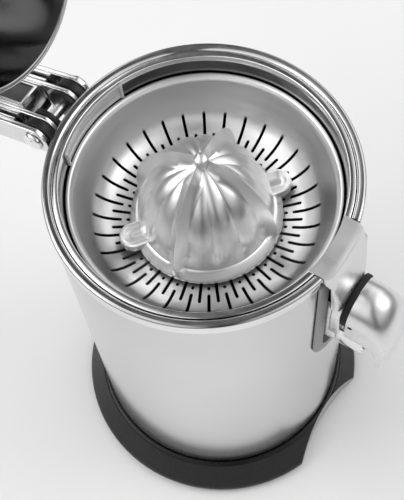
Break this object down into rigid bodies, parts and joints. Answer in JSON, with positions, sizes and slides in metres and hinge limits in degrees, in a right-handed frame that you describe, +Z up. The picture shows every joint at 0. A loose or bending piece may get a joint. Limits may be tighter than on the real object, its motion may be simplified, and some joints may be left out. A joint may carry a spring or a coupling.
{
  "type": "citrus press juicer",
  "caption": "Motor-driven lever citrus press: steel drum on a black base, spouted collector, slotted strainer, ribbed cone and a hinged arm with a dome.",
  "frame": {"origin": "on the drum's axis, on the underside of the base plate, 3 mm above the surface that the feet stand on", "axes": "+Z up along the drum's axis, -Y towards the spout, +Y towards the arm's hinge, +X to the right of someone facing the spout side"},
  "size_m": [0.21, 0.3966, 0.4758],
  "materials": {
    "brushed_steel": "brushed",
    "polished_steel": "polished",
    "cast_metal": "polished die cast",
    "pin_steel": "satin",
    "black_plastic": "satin",
    "black_rubber": "matt",
    "grey_plastic": "satin",
    "white_nylon": "satin",
    "clear_plastic": "clear",
    "copper": "enamelled"
  },
  "bodies": {
    "root": {"base_ring": "black_plastic", "base_plate": "black_plastic", "foot_1": "black_rubber", "foot_2": "black_rubber", "foot_3": "black_rubber", "foot_4": "black_rubber", "base_screw_1": "pin_steel", "base_screw_2": "pin_steel", "base_screw_3": "pin_steel", "base_screw_4": "pin_steel", "body_shell": "brushed_steel", "rim_ring": "polished_steel", "spout_slot_trim": "grey_plastic", "gearbox_housing": "grey_plastic", "gearbox_cover": "grey_plastic", "motor_stator": "pin_steel", "motor_coil_front": "copper", "motor_coil_rear": "copper", "motor_bridge_lower": "pin_steel", "motor_bridge_upper": "pin_steel", "reduction_gear_pin": "pin_steel", "shaft_bush_lower": "copper", "shaft_bush_upper": "copper", "inner_deck": "black_plastic", "shaft_seal": "black_rubber", "micro_switch": "black_plastic", "switch_bracket": "pin_steel", "terminal_block": "white_nylon", "cord_inlet_gland": "black_rubber", "hinge_bracket": "black_plastic", "bracket_screw_1": "pin_steel", "bracket_screw_2": "pin_steel", "hinge_pin": "pin_steel"},
    "arm": {"press_arm": "cast_metal", "arm_inlay": "grey_plastic", "hinge_cap_left": "cast_metal", "hinge_cap_right": "cast_metal", "handle_grip": "black_rubber", "dome_pin": "pin_steel"},
    "dome": {"dome_shell": "polished_steel", "dome_hub": "black_plastic"},
    "collector": {"juice_collector": "polished_steel", "well_window": "clear_plastic", "spout_seal": "black_rubber", "nose_pin": "pin_steel"},
    "nose": {"spout_nose": "polished_steel"},
    "strainer_body": {"strainer": "brushed_steel"},
    "glide": {"cone_glide_ring": "white_nylon"},
    "cone_body": {"cone": "cast_metal", "cone_socket": "black_plastic"},
    "output": {"output_gear": "white_nylon", "drive_shaft": "pin_steel"},
    "reduction": {"reduction_gear": "white_nylon"},
    "motor": {"motor_rotor": "pin_steel"},
    "plunger": {"switch_plunger": "white_nylon"}
  },
  "joints": [
    {"name": "arm_hinge", "type": "hinge", "parent": "root", "child": "arm", "pos_m": [0, 0.104, 0.282], "axis": [-1, 0, 0], "range_deg": [-108, 0]},
    {"name": "dome_tilt", "type": "hinge", "parent": "arm", "child": "dome", "pos_m": [0, 0.21413, 0.35557], "axis": [1, 0, 0], "range_deg": [-3, 3]},
    {"name": "collector_lift", "type": "slide", "parent": "root", "child": "collector", "axis": [0, 0, 1], "range_m": [0, 0.125]},
    {"name": "nose_tilt", "type": "hinge", "parent": "collector", "child": "nose", "pos_m": [0, -0.1055, 0.245], "axis": [1, 0, 0], "range_deg": [0, 10]},
    {"name": "strainer_lift", "type": "slide", "parent": "collector", "child": "strainer_body", "axis": [0, 0, 1], "range_m": [0, 0.055]},
    {"name": "cone_lift", "type": "slide", "parent": "strainer_body", "child": "glide", "axis": [0, 0, 1], "range_m": [0, 0.05]},
    {"name": "cone_spin", "type": "hinge", "parent": "glide", "child": "cone_body", "pos_m": [0, 0, 0.26], "axis": [0, 0, 1], "continuous": true},
    {"name": "output_spin", "type": "hinge", "parent": "root", "child": "output", "pos_m": [0, 0, 0.106], "axis": [0, 0, 1], "continuous": true},
    {"name": "reduction_spin", "type": "hinge", "parent": "root", "child": "reduction", "pos_m": [-0.018, 0.03118, 0.1], "axis": [0, 0, 1], "continuous": true},
    {"name": "motor_spin", "type": "hinge", "parent": "root", "child": "motor", "pos_m": [0.018, 0.03118, 0.06], "axis": [0, 0, 1], "continuous": true},
    {"name": "switch_press", "type": "slide", "parent": "root", "child": "plunger", "axis": [0, 0, -1], "range_m": [0, 0.001], "stiffness_N_per_m": 300}
  ],
  "couplings": [
    {"joint": "cone_spin", "follows": "output_spin", "ratio": 1},
    {"joint": "reduction_spin", "follows": "output_spin", "ratio": -3},
    {"joint": "motor_spin", "follows": "output_spin", "ratio": 9}
  ]
}
